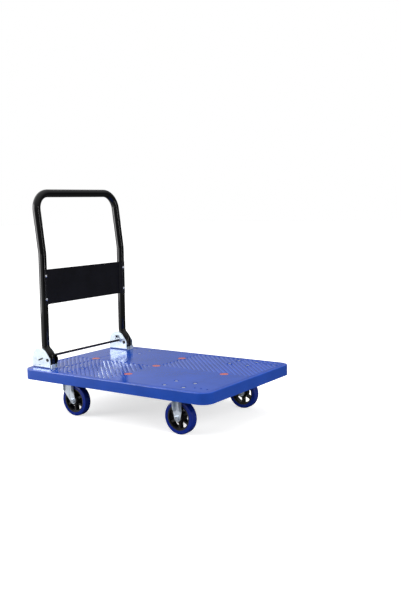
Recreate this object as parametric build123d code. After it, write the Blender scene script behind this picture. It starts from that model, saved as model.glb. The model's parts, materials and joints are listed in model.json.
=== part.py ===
from build123d import *
import os
from math import cos, hypot, radians, sin, sqrt, tan

os.makedirs("parts", exist_ok=True)

# Row frame, mm: origin on the floor under the middle of the deck, +X forward (away from
# the handle), +Y to the left, +Z up. "left" nodes lie at +Y and "right" nodes at -Y.

# deck
DECK_L = 900.0
DECK_W = 600.0
DECK_TOP = 184.0
SKIRT_BOTTOM = 142.0
CORNER_R = 44.0
EDGE_R = 4.0
SKIN = 4.0
WEB_BOTTOM = 160.0
WEB_PITCH = 75
LINE_DEPTH = 1.4
BORDER = 12.0
LOAD_REAR_X = -322.0
RIB_PITCH = 16.6
RIB_GROOVE = 10.0
RIB_DEPTH = 1.9
RIB_START = 0.0
PLUG_SPOTS = [(-325, 0), (0, -175), (0, 0), (0, 175), (325, 0)]
PLUG_HEAD_R = 17.0
PLUG_STEM_R = 13.9
SMALL_HOLES_X = [361.0, 387.0, 413.0]
SMALL_HOLES_Y = 242.0
SMALL_HOLE_R = 4.5

# casters
CASTER_X = 277.0
CASTER_Y = 216.0
BOLT_DX = 84.0
BOLT_DY = 72.0
PLATE_TOP = 155.0
PLATE_T = 3.0
PLATE_L = 108.0
PLATE_W = 96.0
LEG_T = 3.0
LEG_GAP = 19.0
TRAIL = 40.0
WHEEL_R = 62.5
WHEEL_W = 32.0
TREAD_R = 48.0
AXLE_R = 5.0
SLEEVE_R = 8.0
CROWN_TOP = 141.0
KINGPIN_R = 6.0

# folding handle
TUBE_R = 16.0
TUBE_WALL = 2.0
TUBE_Y = 236.3
PIVOT_X = -350.0
PIVOT_Z = 218.0
PIVOT_R = 4.0
STUB = 20.0
BEND_Z = 236.0
CRANK_X = -377.5
CRANK_Z = 264.0
LEAN_X = -372.0
LEAN_Z = 642.0
TOP_X = -400.5
TOP_Z = 881.5
PANEL_Z = (438.0, 579.0)
PANEL_T = 1.5
PANEL_GAP = 0.1
PANEL_WRAP = 25.0
RIVET_Z = (461.0, 554.0)

# fold brackets and release rod
BASE_T = 2.6
BASE_X = (-434.0, -331.0)
EAR_Y = (213.9, 216.5)
LOCK_Y = (217.3, 221.3)
WALL_Y = (253.9, 256.5)
BRACKET_BEND_R = 6.0
BRACKET_BOLTS = [(-420.0, 235.2), (-384.0, 235.2), (-344.0, 235.2)]
LIP_TOP = 201.0
ROD_R = 5.0
ROD_X = -375.0
ROD_Z = 227.0
ROD_END = 219.8
ROD_LIFT = 6.0
RIM_GAP = 0.3
HOOK_REACH = 38.5
SPRING_X = -392.0
SPRING_Z = 242.0
SPRING_R = 5.0
SPRING_WIRE_R = 0.9
SPRING_LEG = 30.0

LEFT = 1
RIGHT = -1
SIDES = {"left": LEFT, "right": RIGHT}

lock_r = hypot(ROD_X - PIVOT_X, ROD_Z - PIVOT_Z) - ROD_R - RIM_GAP


def keep(name, shape):
    """Write one sub-part to its STEP file."""
    export_step(shape, f"parts/{name}.step")


def slab_z(sketch, z_low, z_high):
    """Plate cut to an X-Y outline, between two heights."""
    return extrude(Pos(0, 0, z_low) * sketch, amount=z_high - z_low)


def slab_y(sketch, y_a, y_b):
    """Plate cut to an X-Z outline, between two Y positions."""
    plane = Plane(origin=(0, max(y_a, y_b), 0), x_dir=(1, 0, 0), z_dir=(0, -1, 0))
    return extrude(plane * sketch, amount=abs(y_b - y_a))


def rod_z(x, y, radius, z_low, z_high):
    """Upright cylinder."""
    return Pos(x, y, (z_low + z_high) / 2) * Cylinder(radius, z_high - z_low)


def rod_y(x, z, radius, y_a, y_b):
    """Cylinder lying across the trolley."""
    return Pos(x, (y_a + y_b) / 2, z) * Rot(90, 0, 0) * Cylinder(radius, abs(y_b - y_a))


def block(x_span, y_span, z_span):
    """Box between stated limits."""
    size = [abs(s[1] - s[0]) for s in (x_span, y_span, z_span)]
    middle = [(s[0] + s[1]) / 2 for s in (x_span, y_span, z_span)]
    return Pos(*middle) * Box(*size)


def on_side(shape, side):
    """Shapes are drawn for the left side and mirrored for the right."""
    return shape if side == LEFT else mirror(shape, about=Plane.XZ)


def hexagon(across_flats):
    return RegularPolygon(across_flats / 2, 6, major_radius=False)


def hex_piece(across_flats, height):
    """Hexagonal head or nut body with chamfered corners, base at z = 0."""
    body = extrude(hexagon(across_flats), amount=height)
    trim = Cone(
        across_flats / 2 + height * 1.73,
        across_flats / 2 - 0.2,
        height,
        align=(Align.CENTER, Align.CENTER, Align.MIN),
    )
    return body & trim


def hex_bolt(shank_r, length, across_flats, head_h):
    """Bolt with its head's seat at z = 0, shank running down."""
    head = hex_piece(across_flats, head_h)
    shank = rod_z(0, 0, shank_r, -length, 0)
    shank = chamfer(shank.edges().group_by(Axis.Z)[0], shank_r * 0.2)
    return head + shank


def hex_nut(bore_r, across_flats, height):
    """Nut with its seat at z = 0, body running up."""
    return hex_piece(across_flats, height) - rod_z(0, 0, bore_r, -1, height + 1)


def washer(bore_r, outer_r, thickness):
    """Washer lying on z = 0."""
    return rod_z(0, 0, outer_r, 0, thickness) - rod_z(0, 0, bore_r, -1, thickness + 1)


def caster_bolt_spots():
    """Bolt positions of all four casters."""
    return [
        (cx + dx, cy + dy)
        for cx in (-CASTER_X, CASTER_X)
        for cy in (-CASTER_Y, CASTER_Y)
        for dx in (-BOLT_DX / 2, BOLT_DX / 2)
        for dy in (-BOLT_DY / 2, BOLT_DY / 2)
    ]


def bracket_bolt_spots():
    """Bolt positions of both fold brackets."""
    return [(x, y * side) for side in (LEFT, RIGHT) for x, y in BRACKET_BOLTS]


# ---------------------------------------------------------------- deck

def rib_cuts(x_span, y_span):
    """Slanted V grooves that fill one rectangle of the deck top, leaving ribs between."""
    reach = abs(x_span[1] - x_span[0]) + abs(y_span[1] - y_span[0])
    widen = RIB_GROOVE / 2 * (1 + 1 / RIB_DEPTH)
    vee = Polygon((0, -RIB_DEPTH), (widen, 1), (-widen, 1), align=None)
    bar = extrude(Plane.YZ * vee, amount=reach, both=True)
    x_mid = sum(x_span) / 2
    y_mid = sum(y_span) / 2
    nearest = round(((x_mid + y_mid) / sqrt(2) - RIB_START) / RIB_PITCH)
    count = int(reach / RIB_PITCH / 2) + 1
    bars = []
    for i in range(nearest - count, nearest + count + 1):
        along = RIB_START + i * RIB_PITCH
        shift = (x_mid - y_mid) / sqrt(2)
        bars.append(Pos(0, 0, DECK_TOP) * Rot(0, 0, -45) * Pos(shift, along) * bar)
    cuts = (Part() + bars) & block(x_span, y_span, (DECK_TOP - 5, DECK_TOP + 0.8))
    keep_clear = [(x, y, PLUG_HEAD_R + 6) for x, y in PLUG_SPOTS]
    keep_clear += [(x, y, 15) for x, y in caster_bolt_spots()]
    keep_clear += [(x, SMALL_HOLES_Y, SMALL_HOLE_R + 5) for x in SMALL_HOLES_X]
    return cuts - [rod_z(x, y, r, DECK_TOP - 6, DECK_TOP + 2) for x, y, r in keep_clear]


def load_field():
    """Half length, half width and middle X of the bordered load field."""
    front = DECK_L / 2 - BORDER
    return front, DECK_W / 2 - BORDER, (front + LOAD_REAR_X) / 2


def border_line():
    """Line moulded round the load field."""
    front, side, x_mid = load_field()
    outer = RectangleRounded(front - LOAD_REAR_X, 2 * side, 34)
    inner = RectangleRounded(front - LOAD_REAR_X - 5, 2 * side - 5, 31.5)
    return slab_z(Pos(x_mid, 0) * (outer - inner), DECK_TOP - LINE_DEPTH, DECK_TOP + 1)


def ribbed_fields():
    """The ribbed quarters of the load field and the ribbed strip behind it."""
    front, side, _ = load_field()
    corner = block((front - 31, front), (side - 31, side), (DECK_TOP - 6, DECK_TOP + 2))
    ribs = [rib_cuts((8, front - 9), (8, side - 9)) - corner]
    ribs.append(rib_cuts((LOAD_REAR_X + 9, -8), (-side + 9, -8)))
    ribs.append(rib_cuts((-front, LOAD_REAR_X - 6), (-EAR_Y[0] + 22, -8)))
    return ribs


def make_deck():
    """Moulded deck: top skin, skirt, webs and pads underneath, ribbed top."""
    body = slab_z(RectangleRounded(DECK_L, DECK_W, CORNER_R), SKIRT_BOTTOM, DECK_TOP)
    body = fillet(body.edges().group_by(Axis.Z)[-1], EDGE_R)
    inner = RectangleRounded(DECK_L - 2 * SKIN, DECK_W - 2 * SKIN, CORNER_R - SKIN)
    body -= slab_z(inner, SKIRT_BOTTOM - 1, DECK_TOP - SKIN)
    top = DECK_TOP - SKIN + 1
    added = []
    for x in range(-375, 376, WEB_PITCH):
        added.append(block((x - 1.5, x + 1.5), (-298, 298), (WEB_BOTTOM, top)))
    for y in range(-225, 226, WEB_PITCH):
        added.append(block((-448, 448), (y - 1.5, y + 1.5), (WEB_BOTTOM, top)))
    for cx in (-CASTER_X, CASTER_X):
        for cy in (-CASTER_Y, CASTER_Y):
            pad = Pos(cx, cy) * RectangleRounded(PLATE_L + 8, PLATE_W + 8, 8)
            added.append(slab_z(pad, PLATE_TOP, top))
    for side in (LEFT, RIGHT):
        y_span = [side * (EAR_Y[0] - 4), side * (WALL_Y[1] + 4)]
        added.append(block((BASE_X[0] - 4, BASE_X[1] + 4), sorted(y_span), (172, top)))
    for x, y in PLUG_SPOTS:
        added.append(rod_z(x, y, PLUG_STEM_R + 6, 168, top))
    for x in SMALL_HOLES_X:
        for side in (LEFT, RIGHT):
            added.append(rod_z(x, side * SMALL_HOLES_Y, SMALL_HOLE_R + 3.5, 170, top))
    body += added
    removed = [border_line()] + ribbed_fields()
    for x, y in PLUG_SPOTS:
        removed.append(rod_z(x, y, PLUG_HEAD_R + 0.4, DECK_TOP - 2.2, DECK_TOP + 1))
        removed.append(rod_z(x, y, PLUG_STEM_R + 0.1, SKIRT_BOTTOM, DECK_TOP))
    for x, y in caster_bolt_spots():
        removed.append(rod_z(x, y, 10, 176, DECK_TOP + 1))
        removed.append(rod_z(x, y, 4.5, SKIRT_BOTTOM, DECK_TOP))
    for x, y in bracket_bolt_spots():
        removed.append(rod_z(x, y, 3.3, SKIRT_BOTTOM, DECK_TOP + 1))
    for x in SMALL_HOLES_X:
        for side in (LEFT, RIGHT):
            removed.append(rod_z(x, side * SMALL_HOLES_Y, SMALL_HOLE_R, SKIRT_BOTTOM, DECK_TOP + 1))
    for side in (LEFT, RIGHT):
        removed.append(rod_z(-CASTER_X, side * CASTER_Y, 22, PLATE_TOP - 1, 163))
    return body - removed


def make_plugs():
    """Round push-in plugs that close the moulding's holes, set just below the top."""
    head = rod_z(0, 0, PLUG_HEAD_R, DECK_TOP - 2.2, DECK_TOP - 0.2)
    head = fillet(head.edges().group_by(Axis.Z)[-1], 1.2)
    stem = rod_z(0, 0, PLUG_STEM_R, 168, DECK_TOP - 2.2) - rod_z(0, 0, PLUG_STEM_R - 2, 167, 180)
    stem -= block((-20, 20), (-1.5, 1.5), (167, 178))
    plug = head + stem
    return Compound([Pos(x, y, 0) * plug for x, y in PLUG_SPOTS])


def make_caster_fasteners():
    """Bolts, washers and nuts that hold the four caster plates."""
    spots = caster_bolt_spots()
    bolt = Pos(0, 0, 177.6) * hex_bolt(4, 35.6, 13, 5.3)
    ring = Pos(0, 0, 176) * washer(4.2, 8, 1.6)
    nut = Pos(0, 0, PLATE_TOP - PLATE_T) * Rot(180, 0, 0) * hex_nut(4.02, 13, 6.5)
    keep("caster_bolts", Compound([Pos(x, y, 0) * bolt for x, y in spots]))
    keep("caster_washers", Compound([Pos(x, y, 0) * ring for x, y in spots]))
    keep("caster_nuts", Compound([Pos(x, y, 0) * nut for x, y in spots]))


# ---------------------------------------------------------------- casters

def caster_plate():
    """Mounting plate with four slotted holes, centred on the caster's own axis."""
    outline = RectangleRounded(PLATE_L, PLATE_W, 8)
    for dx in (-BOLT_DX / 2, BOLT_DX / 2):
        for dy in (-BOLT_DY / 2, BOLT_DY / 2):
            outline -= Pos(dx, dy) * SlotOverall(14, 9)
    return slab_z(outline, PLATE_TOP - PLATE_T, PLATE_TOP)


def leg_outline(x_rear, x_front, z_low, z_top, axle_x):
    """Outline of a fork leg, tapering to a round tip about the axle."""
    shoulder = Pos((x_rear + x_front) / 2, z_low + 2) * Rectangle(x_front - x_rear, 4)
    tip = Pos(axle_x, WHEEL_R) * Circle(13)
    taper = make_hull(shoulder.edges() + tip.edges())
    upper = Pos((x_rear + x_front) / 2, (z_low + z_top) / 2) * Rectangle(
        x_front - x_rear, z_top - z_low
    )
    return taper + upper - Pos(axle_x, WHEEL_R) * Circle(AXLE_R + 0.2)


def make_fixed_fork():
    """Pressed fork of a fixed caster: plate, two legs and their turned-out edges."""
    fork = caster_plate()
    leg = leg_outline(-18, 18, 84, PLATE_TOP - 1, 0)
    leg_solid = slab_y(leg, LEG_GAP, LEG_GAP + LEG_T)
    edge = Polygon((LEG_GAP, 153), (34, 153), (32, 96), (LEG_GAP + LEG_T, 84), (LEG_GAP, 84), align=None)
    edge_solid = extrude(Plane.YZ.offset(15) * edge, amount=3)
    half = leg_solid + edge_solid + mirror(edge_solid, about=Plane.YZ)
    return fork + half + mirror(half, about=Plane.XZ)


def make_swivel_plate():
    """Top plate of a swivel caster with the upper bearing boss."""
    plate = caster_plate()
    boss = Pos(0, 0, 150) * Cone(24, 27, 4)
    return plate + boss - rod_z(0, 0, KINGPIN_R + 0.1, 140, 160)


def make_swivel_fork():
    """Turning fork: round crown, skirt and two raked legs."""
    crown = slab_z(Circle(31) + Pos(15, 0) * Rectangle(50, 44), CROWN_TOP - 3, CROWN_TOP)
    leg = leg_outline(-3, 43, 94, CROWN_TOP - 1, TRAIL)
    half = slab_y(leg, LEG_GAP, LEG_GAP + LEG_T)
    edge = Polygon((LEG_GAP, 140), (29, 140), (28, 104), (22, 94), (LEG_GAP, 94), align=None)
    half += extrude(Plane.YZ.offset(40) * edge, amount=3)
    half += extrude(Plane.YZ.offset(-3) * edge, amount=3)
    fork = crown + half + mirror(half, about=Plane.XZ)
    return fork - rod_z(0, 0, KINGPIN_R + 0.05, 130, 150)


def make_ball_race():
    """Caged balls that ride on the crown."""
    cage = rod_z(0, 0, 24, CROWN_TOP, 144) - rod_z(0, 0, 13, 140, 145)
    balls = [Rot(0, 0, i * 30) * Pos(18.5, 0, 144.4) * Sphere(3.3) for i in range(12)]
    return cage + balls


def make_kingpin():
    """Pivot bolt of a swivel caster, its head above the top plate."""
    head = rod_z(0, 0, 13, PLATE_TOP, 160)
    head = fillet(head.edges().group_by(Axis.Z)[-1], 2)
    return head + rod_z(0, 0, KINGPIN_R, 128.5, PLATE_TOP)


def make_kingpin_nut():
    """Lock nut under the crown, just clear of it."""
    return Pos(0, 0, CROWN_TOP - 3.3) * Rot(180, 0, 0) * hex_nut(KINGPIN_R + 0.02, 19, 8)


def make_tyre():
    """Moulded tread ring with rounded shoulders."""
    half = WHEEL_W / 2
    profile = Pos(TREAD_R + (WHEEL_R - TREAD_R) / 2, 0) * Rectangle(WHEEL_R - TREAD_R, WHEEL_W)
    outer = profile.vertices().group_by(Axis.X)[-1]
    profile = fillet(outer, 6)
    ring = revolve(Plane.XY * profile, Axis.Y)
    groove = Pos(0, half, 0) * Rot(90, 0, 0) * (Cylinder(54, 1.2) - Cylinder(52.5, 2))
    return ring - groove - mirror(groove, about=Plane.XZ)


def window_sketch():
    """One opening between two spokes of the wheel centre."""
    ring = Circle(41) - Circle(21)
    wedge = Polygon((0, 0), (60, 60 * tan(radians(30))), (60, -60 * tan(radians(30))), align=None)
    opening = ring & wedge
    spokes = Rot(0, 0, 30) * Rectangle(120, 7) + Rot(0, 0, -30) * Rectangle(120, 7)
    opening -= spokes
    return fillet(opening.vertices(), 2.5)


def make_hub():
    """Spoked wheel centre with a rim, a boss and bearing seats."""
    rim = rod_y(0, 0, TREAD_R, -15, 15) - rod_y(0, 0, 43, -16, 16)
    web = rod_y(0, 0, 44, -10, 10)
    boss = rod_y(0, 0, 18.5, -17, 17)
    boss = fillet(boss.edges().filter_by(GeomType.CIRCLE), 1.5)
    hub = rim + web + boss
    hub -= [slab_y(Rot(0, 0, 60 * i) * window_sketch(), -11, 11) for i in range(6)]
    hub -= rod_y(0, 0, 11, -20, 20)
    hub -= rod_y(0, 0, 14, 8.5, 20)
    hub -= rod_y(0, 0, 14, -20, -8.5)
    return hub


def make_bearings():
    """Pair of sealed bearings pressed into the hub."""
    ring = rod_y(0, 0, 14, 8.5, 16.5) - rod_y(0, 0, SLEEVE_R + 0.05, 8, 17)
    ring -= rod_y(0, 0, 12.4, 16, 17) - rod_y(0, 0, 9.6, 15, 18)
    return Compound([ring, mirror(ring, about=Plane.XZ)])


def make_axle_bolt():
    """Axle bolt through both fork legs, head to the trolley's outside."""
    bolt = hex_bolt(AXLE_R, 2 * LEG_GAP + 2 * LEG_T + 11, 16, 6.4)
    return Pos(0, LEG_GAP + LEG_T, 0) * Rot(-90, 0, 0) * bolt


def make_axle_nut():
    """Nut on the axle bolt's inner end."""
    return Pos(0, -LEG_GAP - LEG_T, 0) * Rot(90, 0, 0) * hex_nut(AXLE_R + 0.02, 16, 8)


def make_sleeve():
    """Spacer tube clamped between the fork legs, which the bearings turn on."""
    return rod_y(0, 0, SLEEVE_R, -LEG_GAP, LEG_GAP) - rod_y(0, 0, AXLE_R + 0.1, -30, 30)


def wheel_spot(axle_x, side):
    return Pos(axle_x, side * CASTER_Y, WHEEL_R)


def write_wheel(name, axle_x, side):
    """Tyre, wheel centre and bearings of one wheel."""
    spot = wheel_spot(axle_x, side)
    keep(f"tyre_{name}", spot * make_tyre())
    keep(f"wheel_centre_{name}", spot * make_hub())
    keep(f"wheel_bearings_{name}", spot * make_bearings())


def write_casters():
    """Two fixed casters at the front and two swivel casters at the handle end."""
    rear_axle = -CASTER_X + TRAIL
    for name, side in SIDES.items():
        front = Pos(CASTER_X, side * CASTER_Y, 0)
        rear = Pos(-CASTER_X, side * CASTER_Y, 0)
        keep(f"fixed_fork_{name}", front * make_fixed_fork())
        keep(f"swivel_plate_{name}", rear * make_swivel_plate())
        keep(f"swivel_fork_{name}", rear * make_swivel_fork())
        keep(f"ball_race_{name}", rear * make_ball_race())
        write_wheel(f"front_{name}", CASTER_X, side)
        write_wheel(f"rear_{name}", rear_axle, side)
        spot = wheel_spot(rear_axle, side)
        keep(f"axle_bolt_rear_{name}", spot * on_side(make_axle_bolt(), side))
        keep(f"axle_nut_rear_{name}", spot * on_side(make_axle_nut(), side))
        keep(f"axle_sleeve_rear_{name}", spot * make_sleeve())
    pairs = {"kingpins": make_kingpin(), "kingpin_nuts": make_kingpin_nut()}
    for name, shape in pairs.items():
        spots = [Pos(-CASTER_X, s * CASTER_Y, 0) * shape for s in SIDES.values()]
        keep(name, Compound(spots))
    pairs = {
        "axle_bolts_front": make_axle_bolt(),
        "axle_nuts_front": make_axle_nut(),
        "axle_sleeves_front": make_sleeve(),
    }
    for name, shape in pairs.items():
        spots = [wheel_spot(CASTER_X, s) * on_side(shape, s) for s in SIDES.values()]
        keep(name, Compound(spots))


# ---------------------------------------------------------------- handle

def rounded_path(points, radii):
    """Straight runs joined by tangent arcs at the inner points."""
    points = [Vector(*p) for p in points]
    edges = []
    start = points[0]
    for before, corner, after, radius in zip(points, points[1:], points[2:], radii):
        towards = (before - corner).normalized()
        away = (after - corner).normalized()
        half = radians(towards.get_angle(away)) / 2
        cut = radius / tan(half)
        middle = (towards + away).normalized() * (radius / sin(half) - radius)
        first = corner + towards * cut
        last = corner + away * cut
        edges.append(Line(start, first))
        edges.append(ThreePointArc(first, corner + middle, last))
        start = last
    edges.append(Line(start, points[-1]))
    return Wire([e.edge() for e in edges])


def handle_path():
    """Centre line of the bent handle tube, from one pivot end to the other."""
    side = [
        (PIVOT_X, PIVOT_Z - STUB),
        (PIVOT_X, BEND_Z),
        (CRANK_X, CRANK_Z),
        (LEAN_X, LEAN_Z),
        (TOP_X, TOP_Z),
    ]
    bends = [30.0, 30.0, 110.0, 68.0]
    left = [(x, TUBE_Y, z) for x, z in side]
    right = [(x, -TUBE_Y, z) for x, z in reversed(side)]
    return rounded_path(left + right, bends + bends[::-1])


def make_handle_tube():
    """Bent push handle with pivot holes and a flat where each lock plate is welded."""
    path = handle_path()
    start = Plane(origin=(PIVOT_X, TUBE_Y, PIVOT_Z - STUB), z_dir=(0, 0, 1))
    tube = sweep(start * Circle(TUBE_R), path)
    tube -= sweep(start * Circle(TUBE_R - TUBE_WALL), path)
    for side in (LEFT, RIGHT):
        y_out = side * (TUBE_Y + 20)
        tube -= rod_y(PIVOT_X, PIVOT_Z, PIVOT_R + 0.05, side * 200, y_out)
        tube -= slab_y(offset(lock_outline(), 0.6), side * 215, side * LOCK_Y[1])
        for z in RIVET_Z:
            tube -= on_upright(side, z) * Pos(TUBE_R, 0, 0) * Rot(0, 90, 0) * Cylinder(2.5, 8)
    return tube


def make_tube_caps():
    """Plastic caps in the two lower ends of the handle tube."""
    end = PIVOT_Z - STUB
    cap = rod_z(PIVOT_X, TUBE_Y, TUBE_R, end - 1.8, end)
    cap = fillet(cap.edges().group_by(Axis.Z)[0], 0.8)
    cap += rod_z(PIVOT_X, TUBE_Y, TUBE_R - TUBE_WALL - 0.1, end, end + 9)
    cap -= rod_z(PIVOT_X, TUBE_Y, TUBE_R - TUBE_WALL - 2.1, end + 2, end + 10)
    cap -= slab_y(offset(lock_outline(), 0.6), 215, LOCK_Y[1])
    return Compound([cap, mirror(cap, about=Plane.XZ)])


def lock_outline():
    """Round boss about the pivot with a hook over the lifted release rod."""
    rod_x = ROD_X - PIVOT_X
    lifted_z = ROD_Z - PIVOT_Z + ROD_LIFT
    inner_x = rod_x - ROD_R - 0.4
    under_z = lifted_z + ROD_R + 0.4
    hook = Polygon(
        (0, lock_r),
        (-8, under_z + 11),
        (3 - HOOK_REACH, under_z + 11),
        (-HOOK_REACH, under_z + 8),
        (-HOOK_REACH, lifted_z - 0.4),
        (inner_x, lifted_z - 0.4),
        (inner_x, under_z),
        (rod_x + ROD_R + 2, under_z),
        (-lock_r * 0.9, lock_r * 0.4),
        (0, 0),
        (lock_r * 0.8, lock_r * 0.5),
        align=None,
    )
    return Pos(PIVOT_X, PIVOT_Z) * (Circle(lock_r) + hook)


def make_lock_plate():
    """Hooked plate welded to the tube; the lifted release rod holds its hook."""
    outline = lock_outline() - Pos(PIVOT_X, PIVOT_Z) * Circle(PIVOT_R + 0.05)
    return slab_y(outline, LOCK_Y[0], LOCK_Y[1])


def on_upright(side, z):
    """Frame on an upright's centre line: x across its front, z along the tube."""
    share = (z - CRANK_Z) / (LEAN_Z - CRANK_Z)
    x = CRANK_X + (LEAN_X - CRANK_X) * share
    along = Vector(LEAN_X - CRANK_X, 0, LEAN_Z - CRANK_Z)
    return Plane(origin=(x, side * TUBE_Y, z), x_dir=(along.Z, 0, -along.X), z_dir=along).location


def make_panel():
    """Sheet across the uprights, its ends rolled round their fronts."""
    inner_r = TUBE_R + PANEL_GAP
    outer_r = inner_r + PANEL_T
    wedge = Polygon(
        (0, 0),
        (30 * cos(radians(PANEL_WRAP)), 30 * sin(radians(PANEL_WRAP))),
        (30, 30),
        (30, -30),
        (30 * cos(radians(84)), -30 * sin(radians(84))),
        align=None,
    )
    roll = (Circle(outer_r) - Circle(inner_r)) & wedge
    half = Pos(0, TUBE_Y) * roll
    reach = TUBE_Y - inner_r
    flat = Pos(1.5 + PANEL_T / 2, 0) * Rectangle(PANEL_T, 2 * reach)
    plan = half + mirror(half, about=Plane.XZ) + flat
    panel = on_upright(0, PANEL_Z[0]) * extrude(plan, amount=PANEL_Z[1] - PANEL_Z[0])
    for side in (LEFT, RIGHT):
        for z in RIVET_Z:
            panel -= on_upright(side, z) * Pos(TUBE_R, 0, 0) * Rot(0, 90, 0) * Cylinder(2.5, 8)
    return panel


def make_rivets():
    """Domed rivets through the rolled panel ends and the tube wall."""
    seat = TUBE_R + PANEL_GAP + PANEL_T
    stack = PANEL_T + PANEL_GAP + TUBE_WALL
    dome = (Pos(0, 0, -5.2) * Sphere(7.2)) & Pos(0, 0, 1) * Box(12, 12, 4)
    head = Pos(seat, 0, 0) * Rot(0, 90, 0) * dome - Cylinder(seat, 40)
    shank = rod_z(0, 0, 2.45, -stack - 1, 0.6)
    tail = rod_z(0, 0, 3.6, -stack - 1.8, -stack - 0.8)
    rivet = head + Pos(seat, 0, 0) * Rot(0, 90, 0) * (shank + tail)
    return Compound([on_upright(side, z) * rivet for side in (LEFT, RIGHT) for z in RIVET_Z])


# ---------------------------------------------------------------- fold brackets

def ear_outline():
    """Side view of the ears: a dome behind the pivot lobe, running down to the deck."""
    dome = Pos(-390, 220) * Circle(44)
    lobe = Pos(PIVOT_X, PIVOT_Z) * Circle(14)
    foot = Pos(-385, DECK_TOP + 1) * Rectangle(98, 2)
    outline = make_hull(dome.edges() + lobe.edges() + foot.edges())
    return outline & Pos(-385, DECK_TOP + 66) * Rectangle(110, 132)


def bracket_channel():
    """U section along the trolley, bent up from the base into both ears."""
    width = WALL_Y[1] - EAR_Y[0]
    outer = Rectangle(width, 100)
    outer = fillet(outer.vertices().group_by(Axis.Y)[0], BRACKET_BEND_R)
    inner = Rectangle(width - 2 * BASE_T, 100)
    inner = fillet(inner.vertices().group_by(Axis.Y)[0], BRACKET_BEND_R - BASE_T)
    section = Pos(0, 50) * outer - Pos(0, 50 + BASE_T) * inner
    middle = (EAR_Y[0] + WALL_Y[1]) / 2
    plane = Plane(origin=(-440, middle, DECK_TOP), x_dir=(0, 1, 0), z_dir=(1, 0, 0))
    return extrude(plane * section, amount=110)


def ear_window():
    """Slanting slot in the outer ear, behind the pivot."""
    return Pos(-388.5, 219) * Rot(0, 0, 20) * SlotOverall(30, 6.5)


def make_ear_pads():
    """Nylon pads behind the slots, each with a lug that snaps into its slot."""
    pad = slab_y(offset(ear_window(), 3), WALL_Y[0] - 1.2, WALL_Y[0])
    pad += slab_y(offset(ear_window(), -0.1), WALL_Y[0], WALL_Y[0] + 0.8)
    return Compound([pad, mirror(pad, about=Plane.XZ)])


def make_bracket():
    """Left fold bracket: two domed ears bent up from one base, with a lip in front."""
    body = bracket_channel() & slab_y(ear_outline(), 205, 265)
    lip_x = PIVOT_X + TUBE_R + 0.4
    lip = block((lip_x, BASE_X[1]), (234, 254), (DECK_TOP, LIP_TOP))
    lip = fillet(lip.edges().filter_by(Axis.X).group_by(Axis.Z)[-1], 5)
    body += lip
    body += block((-345, BASE_X[1]), (234, 249), (DECK_TOP, DECK_TOP + BASE_T))
    body -= rod_y(PIVOT_X, PIVOT_Z, PIVOT_R + 0.02, 205, 265)
    slot_h = 2 * ROD_R + 0.6 + ROD_LIFT
    slot = Pos(ROD_X, ROD_Z + ROD_LIFT / 2) * Rot(0, 0, 90) * SlotOverall(slot_h, 2 * ROD_R + 0.6)
    body -= slab_y(slot, 210, 220)
    body -= rod_y(SPRING_X, SPRING_Z, 2.52, 210, 220)
    body -= slab_y(ear_window(), 250, 260)
    body -= rod_y(-397, 196, 2.5, 250, 260)
    for x, y in BRACKET_BOLTS:
        body -= rod_z(x, y, 3.3, DECK_TOP - 1, DECK_TOP + BASE_T + 1)
    return body


def make_bracket_fasteners():
    """Dome-head bolts and nuts that hold the brackets to the deck."""
    head = fillet(rod_z(0, 0, 6, 0, 3.4).edges().group_by(Axis.Z)[-1], 2.6)
    head -= Pos(0, 0, 2.2) * extrude(hexagon(4), amount=2)
    bolt = Pos(0, 0, DECK_TOP + BASE_T) * (head + rod_z(0, 0, 3, -23, 0))
    nut = Pos(0, 0, 172) * Rot(180, 0, 0) * hex_nut(3.02, 10, 5)
    spots = bracket_bolt_spots()
    keep("bracket_bolts", Compound([Pos(x, y, 0) * bolt for x, y in spots]))
    keep("bracket_nuts", Compound([Pos(x, y, 0) * nut for x, y in spots]))


def make_pivot_fasteners():
    """Headed pins the handle turns on, with the push-on rings that hold them."""
    pin = rod_y(PIVOT_X, PIVOT_Z, PIVOT_R, EAR_Y[0] - 3.2, WALL_Y[1])
    head = rod_y(PIVOT_X, PIVOT_Z, 6.5, WALL_Y[1], WALL_Y[1] + 2)
    pin += fillet(head.edges().filter_by(GeomType.CIRCLE).group_by(Axis.Y)[-1], 1.2)
    ring = rod_y(PIVOT_X, PIVOT_Z, 7, EAR_Y[0] - 1.5, EAR_Y[0])
    ring -= rod_y(PIVOT_X, PIVOT_Z, PIVOT_R + 0.02, EAR_Y[0] - 2, EAR_Y[0] + 1)
    for name, shape in {"pivot_pins": pin, "pivot_rings": ring}.items():
        keep(name, Compound([shape, mirror(shape, about=Plane.XZ)]))


def make_release_rod():
    """Foot-operated rod across the trolley."""
    rod = rod_y(ROD_X, ROD_Z, ROD_R, -ROD_END, ROD_END)
    return chamfer(rod.edges().filter_by(GeomType.CIRCLE), 0.8)


def make_rod_collars():
    """Collars that keep the rod centred between the ears."""
    collar = rod_y(ROD_X, ROD_Z, 8, 208.0, 213.0) - rod_y(ROD_X, ROD_Z, ROD_R, 207, 214)
    return Compound([collar, mirror(collar, about=Plane.XZ)])


def make_spring():
    """Torsion spring on its pin, one leg reaching down behind and under the rod."""
    coil = Helix(pitch=2.0, height=8.0, radius=SPRING_R)
    leg = Line(coil @ 1, coil @ 1 + (coil % 1) * SPRING_LEG)
    path = Wire([coil.edge(), leg.edge()])
    section = Plane(origin=coil @ 0, z_dir=coil % 0) * Circle(SPRING_WIRE_R)
    spring = sweep(section, path, is_frenet=True)
    return Pos(SPRING_X, 211.5, SPRING_Z) * Rot(90, 0, 0) * Rot(0, 0, 225) * spring


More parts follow.
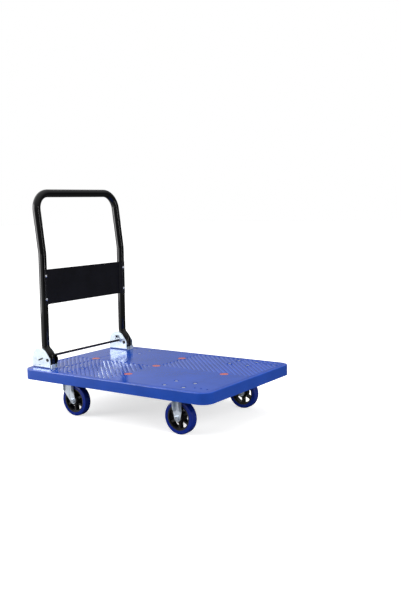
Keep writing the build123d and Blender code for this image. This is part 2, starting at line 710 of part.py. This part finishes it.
def make_spring_pin():
    """Headed pin riveted to the ear that carries the spring."""
    pin = rod_y(SPRING_X, SPRING_Z, 3.2, 201, EAR_Y[0])
    pin += rod_y(SPRING_X, SPRING_Z, 2.5, EAR_Y[0], EAR_Y[1])
    pin += rod_y(SPRING_X, SPRING_Z, 6.5, 199, 201)
    return pin


def write_brackets():
    """Fold brackets and the release mechanism."""
    for name, side in SIDES.items():
        keep(f"bracket_{name}", on_side(make_bracket(), side))
        keep(f"lock_plate_{name}", on_side(make_lock_plate(), side))
        keep(f"rod_spring_{name}", on_side(make_spring(), side))
    pin = make_spring_pin()
    keep("spring_pins", Compound([pin, mirror(pin, about=Plane.XZ)]))
    keep("release_rod", make_release_rod())
    keep("rod_collars", make_rod_collars())
    keep("ear_pads", make_ear_pads())
    make_bracket_fasteners()
    make_pivot_fasteners()


keep("deck", make_deck())
keep("deck_plugs", make_plugs())
make_caster_fasteners()
write_casters()
keep("handle_tube", make_handle_tube())
keep("tube_caps", make_tube_caps())
keep("handle_panel", make_panel())
keep("panel_rivets", make_rivets())
write_brackets()
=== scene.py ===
import json
from math import cos, radians, sin

import bpy
from mathutils import Matrix, Vector

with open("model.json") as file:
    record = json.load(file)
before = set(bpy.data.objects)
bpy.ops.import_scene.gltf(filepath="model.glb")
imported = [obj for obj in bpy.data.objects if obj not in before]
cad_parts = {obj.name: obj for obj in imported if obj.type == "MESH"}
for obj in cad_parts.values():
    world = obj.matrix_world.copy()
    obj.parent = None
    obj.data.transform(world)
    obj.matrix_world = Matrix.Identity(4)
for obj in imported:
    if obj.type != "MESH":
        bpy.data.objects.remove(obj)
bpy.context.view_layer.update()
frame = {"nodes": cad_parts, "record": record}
nodes = frame["nodes"]

# Lengths are metres and angles degrees, in the row frame: +X forward, +Y left, +Z up.

# camera, at the photograph's viewing angle
CAMERA_PLACE = (1.9276, -2.4333, 0.8147)
CAMERA_YAW = 124.99
CAMERA_PITCH = -6.83
CAMERA_ROLL = -1.32
CAMERA_LENS = 46.99
SENSOR_WIDTH = 36.0

# floor: pale to the eye, darker in reflections except for a painted glow on one side, an emission
# that only reflected and bounced rays see
FLOOR_REACH = 30.0
FLOOR_TONES = (0.78, 0.82)
FLOOR_PATCHES = 3
FLOOR_GLOW = 0.62
FLOOR_BOUNCE = 0.10
# painted glow on the floor: the side it rises towards, where it starts and ends along that side
# in metres, and its emission strength
PAINTED_GLOW_AZIMUTH = 215
PAINTED_GLOW_FROM, PAINTED_GLOW_TO = 0.5, 1.5
PAINTED_GLOW_STRENGTH = 0.7

# surroundings seen in reflections: grey levels by height, and by leaning to one side
SKY_BY_HEIGHT = [(-0.05, 0.10), (0.1, 0.12), (0.5, 0.35), (1.0, 0.8)]
SKY_BY_SIDE = [(-1.0, 0.0), (0.05, 0.0), (0.3, 0.16), (1.0, 1.5)]
SKY_AZIMUTH = 200

# studio lights: name, place, width and height, watts, seen in reflections
LIGHTS_AIM = (0, 0, 0.35)
LIGHTS = [
    ("top", (0.2, 0.2, 3.0), (1.8, 1.8), 38, False),
    ("left", (-2.3, -2.4, 1.0), (1.6, 2.2), 60, True),
    ("front", (3.2, -1.2, 1.5), (1.6, 1.6), 60, False),
    ("front_strip", (2.9, 0.4, 0.9), (0.16, 2.0), 9, True),
]

# moulded plastics: dark tone, light tone, roughness range, grains per metre, grain strength
PLASTICS = {
    "deck_blue": ((0.010, 0.062, 0.38), (0.013, 0.073, 0.45), (0.11, 0.17), 900, 0.08),
    "plug_red": ((0.46, 0.10, 0.09), (0.54, 0.13, 0.11), (0.22, 0.32), 900, 0.08),
    "tread_blue": ((0.004, 0.020, 0.24), (0.006, 0.028, 0.30), (0.14, 0.24), 500, 0.05),
    "hub_black": ((0.003, 0.003, 0.004), (0.006, 0.006, 0.007), (0.35, 0.5), 1400, 0.12),
    "cap_black": ((0.005, 0.005, 0.006), (0.009, 0.009, 0.010), (0.4, 0.55), 1400, 0.12),
}

# plated and bare metals: dark tone, light tone, roughness range, how fine the rolling
# lines are along X, Y and Z, metallic share
EVEN = (1, 1, 1)
METALS = {
    "fastener_zinc": ((0.66, 0.74, 0.88), (0.78, 0.86, 0.97), (0.12, 0.24), EVEN, 0.7),
    "fork_zinc": ((0.68, 0.76, 0.90), (0.80, 0.88, 0.98), (0.22, 0.36), (1, 1, 0.15), 0.3),
    "bracket_zinc": ((0.54, 0.63, 0.72), (0.66, 0.75, 0.82), (0.26, 0.38), (0.2, 1, 1), 0.5),
    "steel_bare": ((0.30, 0.30, 0.31), (0.42, 0.42, 0.43), (0.25, 0.45), EVEN, 0.7),
    "bearing_steel": ((0.36, 0.37, 0.39), (0.46, 0.47, 0.49), (0.2, 0.35), EVEN, 0.7),
    "spring_black": ((0.035, 0.035, 0.04), (0.06, 0.06, 0.07), (0.22, 0.38), EVEN, 0.9),
    "rivet_bright": ((0.80, 0.82, 0.86), (0.88, 0.90, 0.94), (0.12, 0.24), EVEN, 0.7),
}

# paints: tone, roughness range, depth of the orange peel, specular level
PAINTS = {
    "handle_black": ((0.0006, 0.0006, 0.0010), (0.03, 0.06), 0.008, 0.5),
    "panel_black": ((0.006, 0.006, 0.009), (0.26, 0.38), 0.06, 0.3),
    "rod_dark": ((0.016, 0.014, 0.020), (0.18, 0.30), 0.05, 0.4),
}


# ---------------------------------------------------------------- node helpers

def level_axis(azimuth):
    """Level unit vector at an azimuth."""
    return (cos(radians(azimuth)), sin(radians(azimuth)), 0)


def add_ramp(tree, value, stops):
    """Colours or grey levels placed along a value from 0 to 1."""
    node = tree.nodes.new("ShaderNodeValToRGB")
    band = node.color_ramp
    while len(band.elements) < len(stops):
        band.elements.new(0.5)
    for element, (place, colour) in zip(band.elements, stops):
        element.position = place
        element.color = (*colour, 1) if isinstance(colour, tuple) else (colour,) * 3 + (1,)
    tree.links.new(value, node.inputs["Fac"])
    return node.outputs["Color"]


def add_dot(tree, vector, axis):
    """How far a vector reaches along an axis."""
    node = tree.nodes.new("ShaderNodeVectorMath")
    node.operation = "DOT_PRODUCT"
    node.inputs[1].default_value = axis
    tree.links.new(vector, node.inputs[0])
    return node.outputs["Value"]


def by_camera_ray(tree, to_eye, to_others, target):
    """One shader for what the camera sees directly, another for every other ray."""
    seen = tree.nodes.new("ShaderNodeLightPath")
    mix = tree.nodes.new("ShaderNodeMixShader")
    tree.links.new(seen.outputs["Is Camera Ray"], mix.inputs["Fac"])
    tree.links.new(to_others, mix.inputs[1])
    tree.links.new(to_eye, mix.inputs[2])
    tree.links.new(mix.outputs["Shader"], target)


class Shader:
    """A material's node tree, with short calls for the nodes used here."""

    def __init__(self, name):
        self.material = bpy.data.materials.new(name)
        self.material.use_nodes = True
        self.tree = self.material.node_tree
        self.main = self.tree.nodes["Principled BSDF"]
        self.coord = self.tree.nodes.new("ShaderNodeTexCoord").outputs["Object"]

    def link(self, source, target):
        self.tree.links.new(source, target)

    def set(self, **values):
        """Constants on the main shader's own sockets."""
        for name, value in values.items():
            self.main.inputs[name.replace("_", " ")].default_value = value

    def noise(self, scale, detail=4.0, roughness=0.55, stretch=EVEN, offset=0.0):
        """Noise in metres: scale is features per metre."""
        mapping = self.tree.nodes.new("ShaderNodeMapping")
        mapping.inputs["Scale"].default_value = [scale * s for s in stretch]
        mapping.inputs["Location"].default_value = (offset, offset * 0.7, -offset)
        self.link(self.coord, mapping.inputs["Vector"])
        node = self.tree.nodes.new("ShaderNodeTexNoise")
        node.inputs["Scale"].default_value = 1.0
        node.inputs["Detail"].default_value = detail
        node.inputs["Roughness"].default_value = roughness
        self.link(mapping.outputs["Vector"], node.inputs["Vector"])
        return node.outputs["Fac"]

    def tones(self, value, stops):
        return add_ramp(self.tree, value, stops)

    def spread(self, value, low, high):
        """Maps the middle of a noise onto low..high."""
        node = self.tree.nodes.new("ShaderNodeMapRange")
        node.inputs["From Min"].default_value = 0.3
        node.inputs["From Max"].default_value = 0.7
        node.inputs["To Min"].default_value = low
        node.inputs["To Max"].default_value = high
        self.link(value, node.inputs["Value"])
        return node.outputs["Result"]

    def bump(self, heights, distance):
        """Stacked bump maps: pairs of height output and strength."""
        normal = None
        for height, strength in heights:
            node = self.tree.nodes.new("ShaderNodeBump")
            node.inputs["Strength"].default_value = strength
            node.inputs["Distance"].default_value = distance
            self.link(height, node.inputs["Height"])
            if normal:
                self.link(normal, node.inputs["Normal"])
            normal = node.outputs["Normal"]
        self.link(normal, self.main.inputs["Normal"])

    def colour(self, output):
        self.link(output, self.main.inputs["Base Color"])

    def roughness(self, output):
        self.link(output, self.main.inputs["Roughness"])

    def add(self, first, second):
        """Two shaders' light together."""
        node = self.tree.nodes.new("ShaderNodeAddShader")
        self.link(first, node.inputs[0])
        self.link(second, node.inputs[1])
        return node.outputs["Shader"]


# ---------------------------------------------------------------- materials

def moulded_plastic(slot, dark, light, rough, grain, grain_strength):
    """Injection-moulded plastic: slow colour drift, fine grain, faint uneven gloss."""
    s = Shader(f"{slot}_mat")
    s.colour(s.tones(s.noise(7, 3), [(0.35, dark), (0.65, light)]))
    s.roughness(s.spread(s.noise(60, 6, 0.65, offset=3), *rough))
    grains = s.noise(grain, 3)
    waves = s.noise(25, 2, offset=9)
    s.bump([(grains, grain_strength), (waves, grain_strength)], 0.0006)
    return s.material


def metal(slot, dark, light, rough, lines, metallic):
    """Plated or bare metal: patchy tone, fine rolling lines and small pits."""
    s = Shader(f"{slot}_mat")
    s.colour(s.tones(s.noise(45, 5, 0.6), [(0.3, dark), (0.5, light), (0.75, dark)]))
    s.roughness(s.spread(s.noise(120, 6, 0.7, stretch=lines, offset=5), *rough))
    scratches = s.noise(700, 2, stretch=lines, offset=2)
    pits = s.noise(90, 3)
    s.bump([(scratches, 0.10), (pits, 0.12)], 0.0004)
    s.set(Metallic=metallic)
    return s.material


def paint(slot, tone, rough, peel, specular):
    """Powder coat with an orange-peel surface."""
    s = Shader(f"{slot}_mat")
    dark = tuple(c * 0.7 for c in tone)
    s.colour(s.tones(s.noise(18, 4), [(0.35, dark), (0.65, tone)]))
    s.roughness(s.spread(s.noise(80, 6, 0.7, offset=4), *rough))
    coarse = s.noise(420, 2)
    fine = s.noise(2500, 1, offset=7)
    s.bump([(coarse, peel), (fine, peel * 0.4)], 0.0005)
    s.set(Specular_IOR_Level=specular)
    return s.material


def finish_nodes():
    """Give every node the material that the record names for it."""
    finish_of = {}
    for make, looks in ((moulded_plastic, PLASTICS), (metal, METALS), (paint, PAINTS)):
        for slot, look in looks.items():
            finish_of[slot] = make(slot, *look)
    slot_of_node = {p["node"]: p["material_slot"] for p in frame["record"]["subparts"]}
    for node, piece in nodes.items():
        piece.data.materials.clear()
        piece.data.materials.append(finish_of[slot_of_node[node]])


# ---------------------------------------------------------------- floor, light, camera

def add_floor():
    """Plain pale floor that stays pale to the eye and is dimmer in reflections, apart from a
    painted glow on one side that only reflected and bounced rays see.
    """
    size = FLOOR_REACH
    mesh = bpy.data.meshes.new("floor")
    corners = [(-size, -size, 0), (size, -size, 0), (size, size, 0), (-size, size, 0)]
    mesh.from_pydata(corners, [], [(0, 1, 2, 3)])
    floor = bpy.data.objects.new("floor", mesh)
    bpy.context.scene.collection.objects.link(floor)

    s = Shader("floor_mat")
    s.colour(s.tones(s.noise(FLOOR_PATCHES, 3), [(0.3, FLOOR_TONES[0]), (0.7, FLOOR_TONES[1])]))
    s.set(Roughness=0.9, Specular_IOR_Level=0.05)
    glow = s.tree.nodes.new("ShaderNodeEmission")
    glow.inputs["Strength"].default_value = FLOOR_GLOW
    to_eye = s.add(s.main.outputs["BSDF"], glow.outputs["Emission"])

    bounce = s.tree.nodes.new("ShaderNodeBsdfDiffuse")
    bounce_tones = [(0.3, FLOOR_BOUNCE), (0.7, FLOOR_BOUNCE * 1.1)]
    s.link(s.tones(s.noise(FLOOR_PATCHES, 3), bounce_tones), bounce.inputs["Color"])
    # painted glow: emission that grows towards one side of the floor, seen only by reflected and
    # bounced rays, standing in for light in the deck's and forks' reflections
    ease = s.tree.nodes.new("ShaderNodeMapRange")
    ease.inputs["From Min"].default_value = PAINTED_GLOW_FROM
    ease.inputs["From Max"].default_value = PAINTED_GLOW_TO
    ease.inputs["To Max"].default_value = PAINTED_GLOW_STRENGTH
    s.link(add_dot(s.tree, s.coord, level_axis(PAINTED_GLOW_AZIMUTH)), ease.inputs["Value"])
    painted_glow = s.tree.nodes.new("ShaderNodeEmission")
    s.link(ease.outputs["Result"], painted_glow.inputs["Strength"])
    to_others = s.add(bounce.outputs["BSDF"], painted_glow.outputs["Emission"])

    by_camera_ray(s.tree, to_eye, to_others, s.tree.nodes["Material Output"].inputs["Surface"])
    mesh.materials.append(s.material)


def add_world():
    """White surroundings to the eye; in reflections a studio, brighter overhead and on a side."""
    world = bpy.data.worlds.new("studio")
    bpy.context.scene.world = world
    world.use_nodes = True
    tree = world.node_tree
    white = tree.nodes["Background"]
    white.inputs["Color"].default_value = (1.0, 1.0, 1.0, 1)
    white.inputs["Strength"].default_value = 1.0
    direction = tree.nodes.new("ShaderNodeTexCoord").outputs["Generated"]

    def levels_along(axis, stops):
        """Grey levels by how far a direction leans along an axis, -1 to 1."""
        span = tree.nodes.new("ShaderNodeMapRange")
        span.inputs["From Min"].default_value = -1
        tree.links.new(add_dot(tree, direction, axis), span.inputs["Value"])
        halves = [((place + 1) / 2, level) for place, level in stops]
        return add_ramp(tree, span.outputs["Result"], halves)

    total = tree.nodes.new("ShaderNodeVectorMath")
    total.operation = "ADD"
    tree.links.new(levels_along((0, 0, 1), SKY_BY_HEIGHT), total.inputs[0])
    tree.links.new(levels_along(level_axis(SKY_AZIMUTH), SKY_BY_SIDE), total.inputs[1])
    studio = tree.nodes.new("ShaderNodeBackground")
    tree.links.new(total.outputs["Vector"], studio.inputs["Color"])
    by_camera_ray(tree, white.outputs["Background"], studio.outputs["Background"],
                  tree.nodes["World Output"].inputs["Surface"])


def add_light(name, place, size, watts, in_reflections):
    """Soft rectangular studio light aimed at the trolley."""
    lamp = bpy.data.lights.new(name, "AREA")
    lamp.shape = "RECTANGLE"
    lamp.size, lamp.size_y = size
    lamp.energy = watts
    holder = bpy.data.objects.new(name, lamp)
    bpy.context.scene.collection.objects.link(holder)
    holder.location = place
    holder.visible_glossy = in_reflections
    aim = Vector(LIGHTS_AIM) - Vector(place)
    holder.rotation_euler = aim.to_track_quat("-Z", "Y").to_euler()


def add_camera():
    """The scene's camera, turned by yaw, pitch and roll."""
    yaw, pitch, roll = radians(CAMERA_YAW), radians(CAMERA_PITCH), radians(CAMERA_ROLL)
    forward = Vector((cos(pitch) * cos(yaw), cos(pitch) * sin(yaw), sin(pitch)))
    level_right = Vector((sin(yaw), -cos(yaw), 0))
    level_up = level_right.cross(forward)
    right = level_right * cos(roll) + level_up * sin(roll)
    up = level_up * cos(roll) - level_right * sin(roll)
    lens = bpy.data.cameras.new("camera")
    lens.lens = CAMERA_LENS
    lens.sensor_width = SENSOR_WIDTH
    camera = bpy.data.objects.new("camera", lens)
    bpy.context.scene.collection.objects.link(camera)
    turn = Matrix((right, up, -forward)).transposed().to_4x4()
    camera.matrix_world = Matrix.Translation(CAMERA_PLACE) @ turn
    bpy.context.scene.camera = camera


finish_nodes()
add_floor()
add_world()
for light in LIGHTS:
    add_light(*light)
add_camera()
bpy.context.scene.view_settings.view_transform = "Standard"
